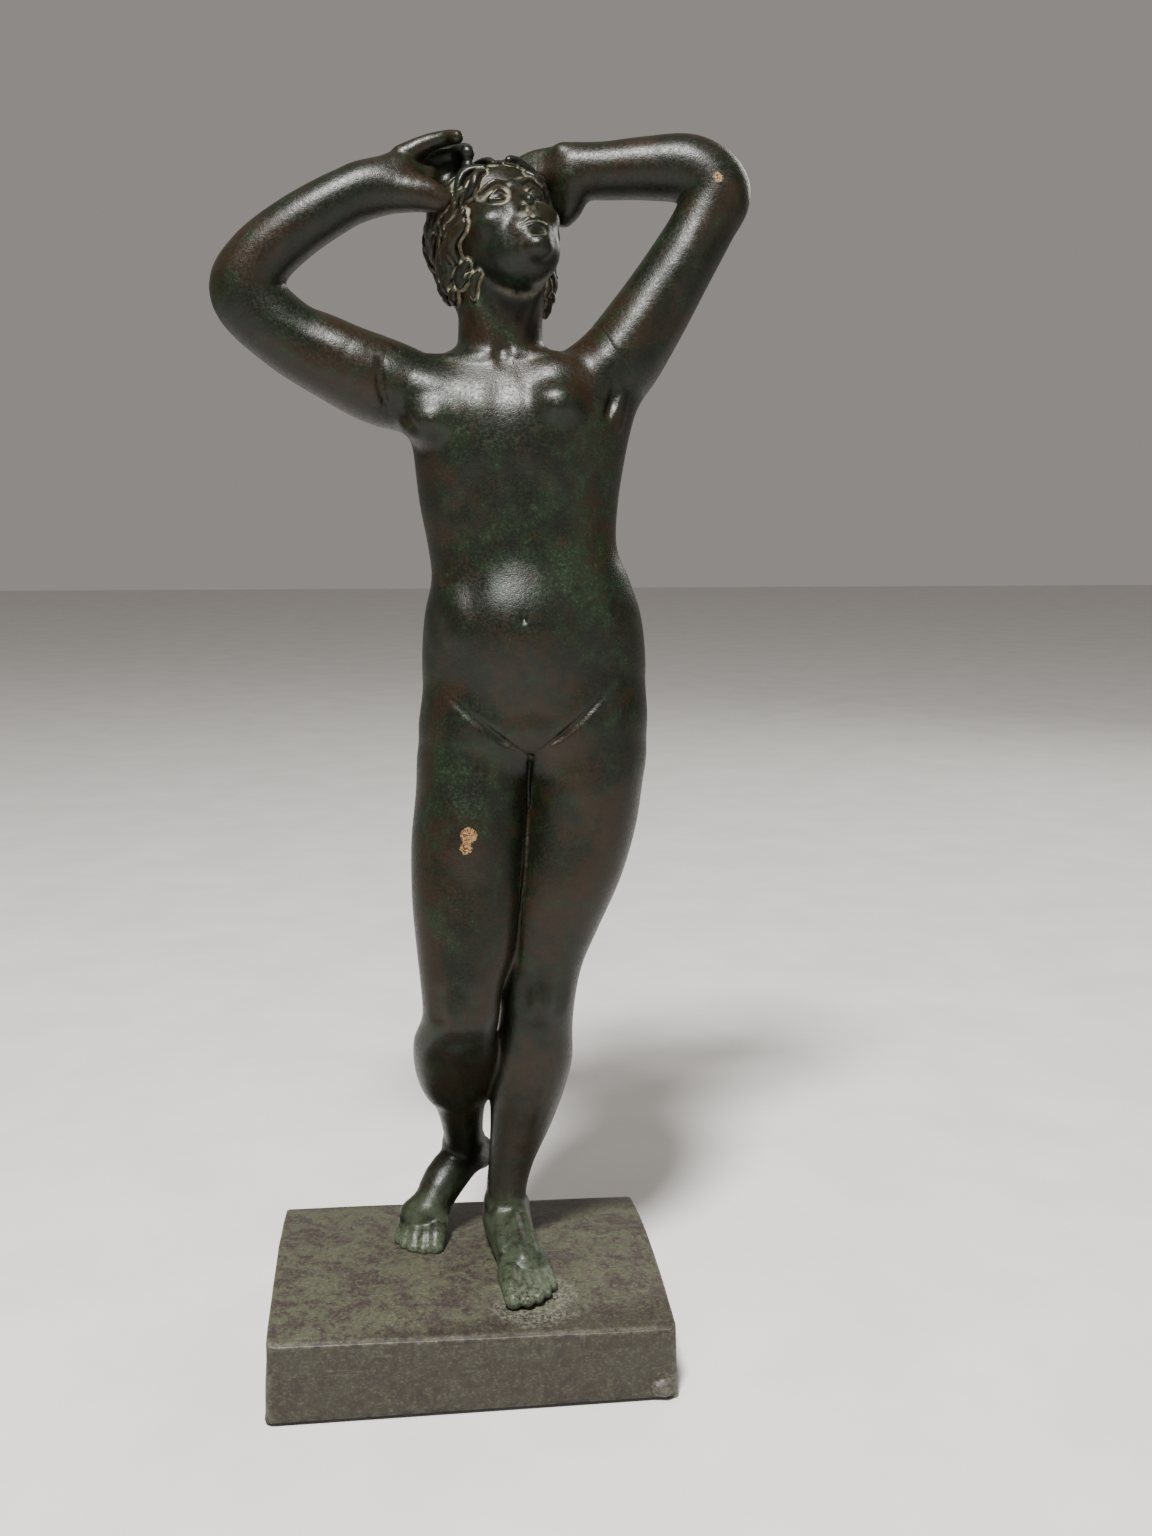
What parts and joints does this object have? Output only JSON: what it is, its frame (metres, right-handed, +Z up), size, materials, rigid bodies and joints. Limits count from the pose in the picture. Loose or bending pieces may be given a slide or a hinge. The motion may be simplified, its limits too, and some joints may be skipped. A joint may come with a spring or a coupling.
{
  "type": "bronze statuette",
  "caption": "Standing bronze figure with both arms raised to the head and one heel lifted, on a low rectangular plinth with a crowned top.",
  "frame": {"origin": "centre of the underside of the felt pad, where the statuette stands", "axes": "+Z up, +X to the figure's left, +Y to its back, so the figure faces -Y"},
  "size_m": [0.1649, 0.0974, 0.3863],
  "materials": {
    "patinated_bronze": "dark brown-green patina, waxed to a satin gloss",
    "plinth_bronze": "mottled olive and brown patina, duller than the figure",
    "bare_bronze": "filed bronze",
    "steel": "machined",
    "black_felt": "pressed felt"
  },
  "bodies": {
    "root": {"plinth": "plinth_bronze", "base_pad": "black_felt", "body": "patinated_bronze", "head": "patinated_bronze", "right_arm": "patinated_bronze", "left_arm": "patinated_bronze", "neck_pin": "bare_bronze", "right_arm_pin": "bare_bronze", "left_arm_pin": "bare_bronze", "right_foot_stud": "steel", "left_foot_stud": "steel", "foot_washers": "steel", "foot_nuts": "steel", "core_pin_plugs": "bare_bronze"}
  },
  "joints": []
}
